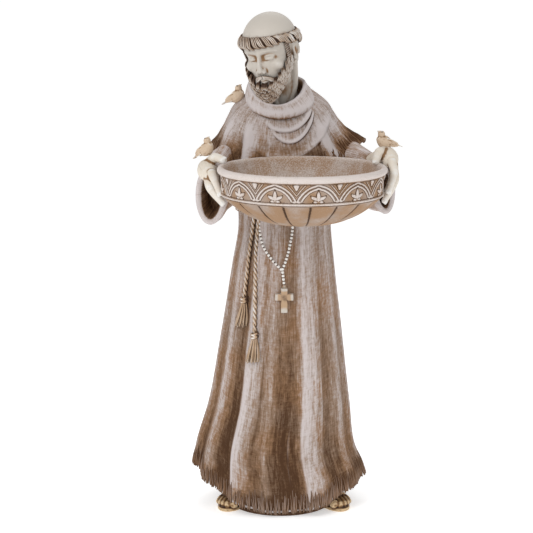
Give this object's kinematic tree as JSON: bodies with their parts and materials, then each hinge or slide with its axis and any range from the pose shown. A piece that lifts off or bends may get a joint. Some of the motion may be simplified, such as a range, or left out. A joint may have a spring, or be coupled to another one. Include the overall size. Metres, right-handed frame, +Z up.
{
  "type": "friar garden statue with bird basin",
  "caption": "Standing garden statue of a bearded friar in a hooded robe who holds out a wide round bird basin, with small birds on shoulder and hands.",
  "frame": {"origin": "middle of the flat underside", "axes": "+Z up, the friar faces -Y, +X is the viewer's right"},
  "size_m": [0.3858, 0.5065, 0.941],
  "materials": {
    "habit": "cast resin painted warm brown, with ridges dry-brushed off-white",
    "basin": "cast resin painted as tan stone, with dark recesses and a whitened rim",
    "cream": "cast resin painted cream, with a brown wash left in the hollows"
  },
  "bodies": {
    "root": {"figure": "habit", "basin": "basin", "bird_on_shoulder": "cream", "bird_on_left_hand": "cream", "bird_on_right_hand": "cream"}
  },
  "joints": []
}
